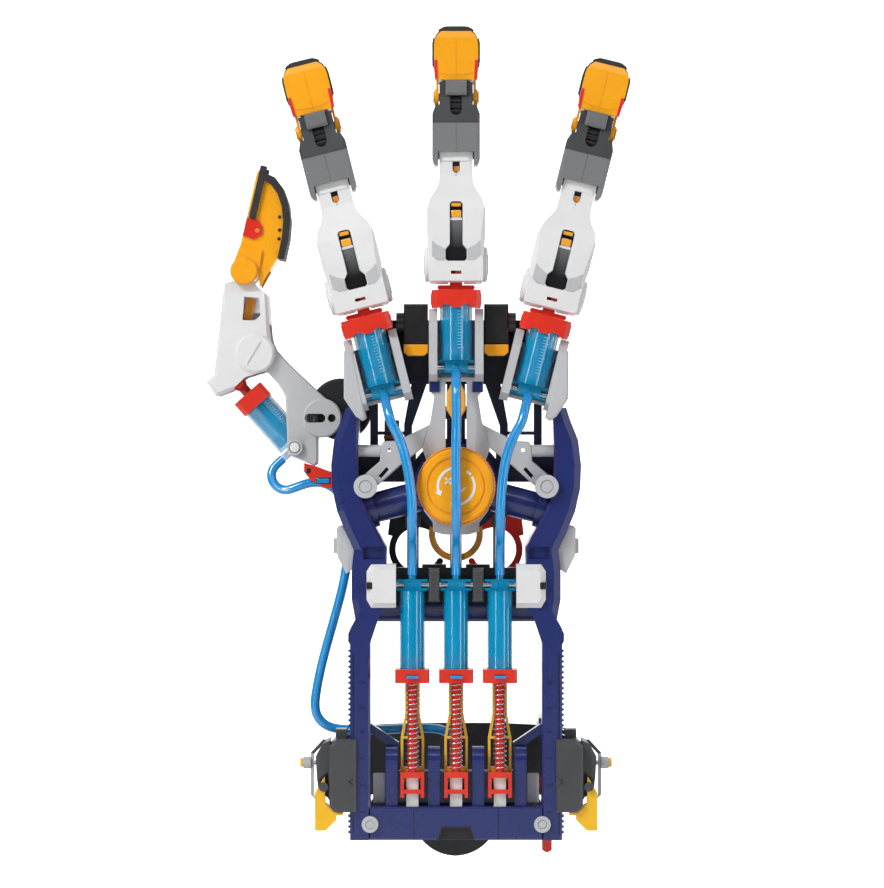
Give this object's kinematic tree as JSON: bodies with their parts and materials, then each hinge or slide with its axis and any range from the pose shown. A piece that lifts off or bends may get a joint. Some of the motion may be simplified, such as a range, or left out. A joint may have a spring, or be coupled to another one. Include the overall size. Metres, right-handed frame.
{
  "type": "hydraulic robot hand kit",
  "caption": "Wearable hydraulic hand exoskeleton: fingers and a thumb curl when finger loops pull water-filled syringes linked by tubes; a cuff slides on toothed rails.",
  "frame": {"origin": "on the axis of the wearer's forearm, level with the wrist end of the base bar", "axes": "+Z along the forearm from the wrist towards the fingertips, -Y is the back of the hand, +X is to the right seen from the back"},
  "size_m": [0.2123, 0.1082, 0.4234],
  "materials": {
    "left_side_frame": "moulded plastic, fine satin grain",
    "right_side_frame": "moulded plastic, fine satin grain",
    "syringe_crossbar": "moulded plastic, fine satin grain",
    "wrist_base": "moulded plastic, fine satin grain",
    "hub": "moulded plastic, fine satin grain",
    "palm_frame": "moulded plastic, fine satin grain",
    "centre_bracket": "moulded plastic, fine satin grain",
    "side_links": "moulded plastic, fine satin grain",
    "finger_brackets": "moulded plastic, fine satin grain",
    "axle_blocks": "moulded plastic, fine satin grain",
    "side_buttons": "moulded plastic, fine satin grain",
    "cylinder_collars": "moulded plastic, fine satin grain",
    "finger_cylinders": "clear, water-tinted",
    "input_cylinders": "clear, water-tinted",
    "spring_guides": "moulded plastic, fine satin grain",
    "index_spring": "drawn, bright",
    "middle_spring": "drawn, bright",
    "ring_spring": "drawn, bright",
    "steel_pins": "drawn, bright",
    "lock_blocks": "moulded plastic, fine satin grain",
    "slide_locks": "moulded plastic, fine satin grain",
    "thumb_bracket": "moulded plastic, fine satin grain",
    "thumb_drum": "moulded plastic, fine satin grain",
    "tube_clip": "moulded plastic, fine satin grain",
    "index_tube": "soft tube, glossy",
    "middle_tube": "soft tube, glossy",
    "ring_tube": "soft tube, glossy",
    "thumb_tube": "soft tube, glossy",
    "index_proximal": "moulded plastic, fine satin grain",
    "index_middle": "moulded plastic, fine satin grain",
    "index_tip": "moulded plastic, fine satin grain",
    "index_pad": "soft moulded rubber, dull",
    "index_rod": "moulded plastic, fine satin grain",
    "index_plunger": "moulded plastic, fine satin grain",
    "index_loop": "moulded plastic, fine satin grain",
    "middle_proximal": "moulded plastic, fine satin grain",
    "middle_middle": "moulded plastic, fine satin grain",
    "middle_tip": "moulded plastic, fine satin grain",
    "middle_pad": "soft moulded rubber, dull",
    "middle_rod": "moulded plastic, fine satin grain",
    "middle_plunger": "moulded plastic, fine satin grain",
    "middle_loop": "moulded plastic, fine satin grain",
    "ring_proximal": "moulded plastic, fine satin grain",
    "ring_middle": "moulded plastic, fine satin grain",
    "ring_tip": "moulded plastic, fine satin grain",
    "ring_pad": "soft moulded rubber, dull",
    "ring_rod": "moulded plastic, fine satin grain",
    "ring_plunger": "moulded plastic, fine satin grain",
    "ring_loop": "moulded plastic, fine satin grain",
    "thumb_proximal": "moulded plastic, fine satin grain",
    "thumb_tip": "moulded plastic, fine satin grain",
    "thumb_pad": "soft moulded rubber, dull",
    "thumb_rod": "moulded plastic, fine satin grain",
    "thumb_plunger": "moulded plastic, fine satin grain",
    "thumb_lever": "moulded plastic, fine satin grain",
    "tension_knob": "moulded plastic, fine satin grain",
    "cuff_sliders": "moulded plastic, fine satin grain",
    "cuff_shell": "moulded plastic, fine satin grain",
    "left_latch": "moulded plastic, fine satin grain",
    "right_latch": "moulded plastic, fine satin grain"
  },
  "bodies": {
    "frame": {"left_side_frame": "left_side_frame", "right_side_frame": "right_side_frame", "syringe_crossbar": "syringe_crossbar", "wrist_base": "wrist_base", "hub": "hub", "palm_frame": "palm_frame", "centre_bracket": "centre_bracket", "side_links": "side_links", "finger_brackets": "finger_brackets", "axle_blocks": "axle_blocks", "side_buttons": "side_buttons", "cylinder_collars": "cylinder_collars", "finger_cylinders": "finger_cylinders", "input_cylinders": "input_cylinders", "spring_guides": "spring_guides", "index_spring": "index_spring", "middle_spring": "middle_spring", "ring_spring": "ring_spring", "steel_pins": "steel_pins", "lock_blocks": "lock_blocks", "slide_locks": "slide_locks", "thumb_bracket": "thumb_bracket", "thumb_drum": "thumb_drum", "tube_clip": "tube_clip", "index_tube": "index_tube", "middle_tube": "middle_tube", "ring_tube": "ring_tube", "thumb_tube": "thumb_tube"},
    "index_base_link": {"index_proximal": "index_proximal"},
    "index_mid_link": {"index_middle": "index_middle"},
    "index_end_link": {"index_tip": "index_tip", "index_pad": "index_pad"},
    "index_piston": {"index_rod": "index_rod"},
    "index_input": {"index_plunger": "index_plunger"},
    "index_pull": {"index_loop": "index_loop"},
    "middle_base_link": {"middle_proximal": "middle_proximal"},
    "middle_mid_link": {"middle_middle": "middle_middle"},
    "middle_end_link": {"middle_tip": "middle_tip", "middle_pad": "middle_pad"},
    "middle_piston": {"middle_rod": "middle_rod"},
    "middle_input": {"middle_plunger": "middle_plunger"},
    "middle_pull": {"middle_loop": "middle_loop"},
    "ring_base_link": {"ring_proximal": "ring_proximal"},
    "ring_mid_link": {"ring_middle": "ring_middle"},
    "ring_end_link": {"ring_tip": "ring_tip", "ring_pad": "ring_pad"},
    "ring_piston": {"ring_rod": "ring_rod"},
    "ring_input": {"ring_plunger": "ring_plunger"},
    "ring_pull": {"ring_loop": "ring_loop"},
    "thumb_base_link": {"thumb_proximal": "thumb_proximal"},
    "thumb_end_link": {"thumb_tip": "thumb_tip", "thumb_pad": "thumb_pad"},
    "thumb_piston": {"thumb_rod": "thumb_rod"},
    "thumb_input": {"thumb_plunger": "thumb_plunger"},
    "thumb_push": {"thumb_lever": "thumb_lever"},
    "knob": {"tension_knob": "tension_knob"},
    "cuff": {"cuff_sliders": "cuff_sliders", "cuff_shell": "cuff_shell"},
    "left_release": {"left_latch": "left_latch"},
    "right_release": {"right_latch": "right_latch"}
  },
  "joints": [
    {"name": "index_curl", "type": "hinge", "parent": "frame", "child": "index_base_link", "pos_m": [-0.0485, -0.055, 0.272], "axis": [-0.9703, 0, -0.2419], "range_deg": [0, 60], "stiffness_Nm_per_rad": 0.15, "springref_deg": -8.59},
    {"name": "index_mid_curl", "type": "hinge", "parent": "index_base_link", "child": "index_mid_link", "pos_m": [-0.06168, -0.055, 0.32488], "axis": [-0.9703, 0, -0.2419], "range_deg": [0, 60]},
    {"name": "index_end_curl", "type": "hinge", "parent": "index_mid_link", "child": "index_end_link", "pos_m": [-0.0687, -0.055, 0.35302], "axis": [-0.9703, 0, -0.2419], "range_deg": [0, 45]},
    {"name": "index_rod_slide", "type": "slide", "parent": "frame", "child": "index_piston", "axis": [-0.2419, 0, 0.9703], "range_m": [0, 0.01039]},
    {"name": "index_plunger_slide", "type": "slide", "parent": "frame", "child": "index_input", "axis": [0, 0, 1], "range_m": [0, 0.015], "deforming": ["index_spring"]},
    {"name": "index_loop_slide", "type": "slide", "parent": "frame", "child": "index_pull", "axis": [0, 0, -1], "range_m": [0, 0.015], "stiffness_N_per_m": 30, "springref_m": -0.01},
    {"name": "middle_curl", "type": "hinge", "parent": "frame", "child": "middle_base_link", "pos_m": [0, -0.055, 0.2855], "axis": [-1, 0, 0], "range_deg": [0, 60], "stiffness_Nm_per_rad": 0.15, "springref_deg": -8.59},
    {"name": "middle_mid_curl", "type": "hinge", "parent": "middle_base_link", "child": "middle_mid_link", "pos_m": [0, -0.055, 0.34], "axis": [-1, 0, 0], "range_deg": [0, 60]},
    {"name": "middle_end_curl", "type": "hinge", "parent": "middle_mid_link", "child": "middle_end_link", "pos_m": [0, -0.055, 0.369], "axis": [-1, 0, 0], "range_deg": [0, 45]},
    {"name": "middle_rod_slide", "type": "slide", "parent": "frame", "child": "middle_piston", "axis": [0, 0, 1], "range_m": [0, 0.01039]},
    {"name": "middle_plunger_slide", "type": "slide", "parent": "frame", "child": "middle_input", "axis": [0, 0, 1], "range_m": [0, 0.015], "deforming": ["middle_spring"]},
    {"name": "middle_loop_slide", "type": "slide", "parent": "frame", "child": "middle_pull", "axis": [0, 0, -1], "range_m": [0, 0.015], "stiffness_N_per_m": 30, "springref_m": -0.01},
    {"name": "ring_curl", "type": "hinge", "parent": "frame", "child": "ring_base_link", "pos_m": [0.0485, -0.055, 0.272], "axis": [-0.9703, 0, 0.2419], "range_deg": [0, 60], "stiffness_Nm_per_rad": 0.15, "springref_deg": -8.59},
    {"name": "ring_mid_curl", "type": "hinge", "parent": "ring_base_link", "child": "ring_mid_link", "pos_m": [0.06168, -0.055, 0.32488], "axis": [-0.9703, 0, 0.2419], "range_deg": [0, 60]},
    {"name": "ring_end_curl", "type": "hinge", "parent": "ring_mid_link", "child": "ring_end_link", "pos_m": [0.0687, -0.055, 0.35302], "axis": [-0.9703, 0, 0.2419], "range_deg": [0, 45]},
    {"name": "ring_rod_slide", "type": "slide", "parent": "frame", "child": "ring_piston", "axis": [0.2419, 0, 0.9703], "range_m": [0, 0.01039]},
    {"name": "ring_plunger_slide", "type": "slide", "parent": "frame", "child": "ring_input", "axis": [0, 0, 1], "range_m": [0, 0.015], "deforming": ["ring_spring"]},
    {"name": "ring_loop_slide", "type": "slide", "parent": "frame", "child": "ring_pull", "axis": [0, 0, -1], "range_m": [0, 0.015], "stiffness_N_per_m": 30, "springref_m": -0.01},
    {"name": "thumb_curl", "type": "hinge", "parent": "frame", "child": "thumb_base_link", "pos_m": [-0.1009, -0.0305, 0.2415], "axis": [0, 1, 0], "range_deg": [0, 12], "stiffness_Nm_per_rad": 0.2, "springref_deg": -8.59},
    {"name": "thumb_end_curl", "type": "hinge", "parent": "thumb_base_link", "child": "thumb_end_link", "pos_m": [-0.1065, -0.0305, 0.283], "axis": [0, 1, 0], "range_deg": [0, 30]},
    {"name": "thumb_rod_slide", "type": "slide", "parent": "frame", "child": "thumb_piston", "axis": [-0.6633, 0, 0.7484], "range_m": [0, 0.00368]},
    {"name": "thumb_plunger_slide", "type": "slide", "parent": "frame", "child": "thumb_input", "axis": [-1, 0, 0], "range_m": [0, 0.0053]},
    {"name": "thumb_lever_swing", "type": "hinge", "parent": "frame", "child": "thumb_push", "pos_m": [0.046, -0.029, 0.05], "axis": [0, 1, 0], "range_deg": [0, 10.4]},
    {"name": "knob_turn", "type": "hinge", "parent": "frame", "child": "knob", "pos_m": [0, -0.055, 0.1752], "axis": [0, -1, 0], "continuous": true},
    {"name": "cuff_slide", "type": "slide", "parent": "frame", "child": "cuff", "axis": [0, 0, 1], "range_m": [0, 0.025]},
    {"name": "left_latch_tilt", "type": "hinge", "parent": "cuff", "child": "left_release", "pos_m": [-0.0656, -0.0657, 0.0265], "axis": [0, 1, 0], "range_deg": [0, 8], "stiffness_Nm_per_rad": 0.05, "springref_deg": -5.73},
    {"name": "right_latch_tilt", "type": "hinge", "parent": "cuff", "child": "right_release", "pos_m": [0.0656, -0.0657, 0.0265], "axis": [0, -1, 0], "range_deg": [0, 8], "stiffness_Nm_per_rad": 0.05, "springref_deg": -5.73}
  ],
  "couplings": [
    {"joint": "index_mid_curl", "follows": "index_curl", "ratio": 1},
    {"joint": "index_end_curl", "follows": "index_curl", "ratio": 0.75},
    {"joint": "index_rod_slide", "follows": "index_curl", "m_per_rad": 0.0099239},
    {"joint": "index_plunger_slide", "follows": "index_curl", "m_per_rad": 0.014324},
    {"joint": "index_loop_slide", "follows": "index_curl", "m_per_rad": 0.014324},
    {"joint": "middle_mid_curl", "follows": "middle_curl", "ratio": 1},
    {"joint": "middle_end_curl", "follows": "middle_curl", "ratio": 0.75},
    {"joint": "middle_rod_slide", "follows": "middle_curl", "m_per_rad": 0.0099239},
    {"joint": "middle_plunger_slide", "follows": "middle_curl", "m_per_rad": 0.014324},
    {"joint": "middle_loop_slide", "follows": "middle_curl", "m_per_rad": 0.014324},
    {"joint": "ring_mid_curl", "follows": "ring_curl", "ratio": 1},
    {"joint": "ring_end_curl", "follows": "ring_curl", "ratio": 0.75},
    {"joint": "ring_rod_slide", "follows": "ring_curl", "m_per_rad": 0.0099239},
    {"joint": "ring_plunger_slide", "follows": "ring_curl", "m_per_rad": 0.014324},
    {"joint": "ring_loop_slide", "follows": "ring_curl", "m_per_rad": 0.014324},
    {"joint": "thumb_end_curl", "follows": "thumb_curl", "ratio": 1},
    {"joint": "thumb_rod_slide", "follows": "thumb_curl", "m_per_rad": 0.017571},
    {"joint": "thumb_plunger_slide", "follows": "thumb_curl", "m_per_rad": 0.025306},
    {"joint": "thumb_lever_swing", "follows": "thumb_curl", "ratio": 0.86666}
  ]
}
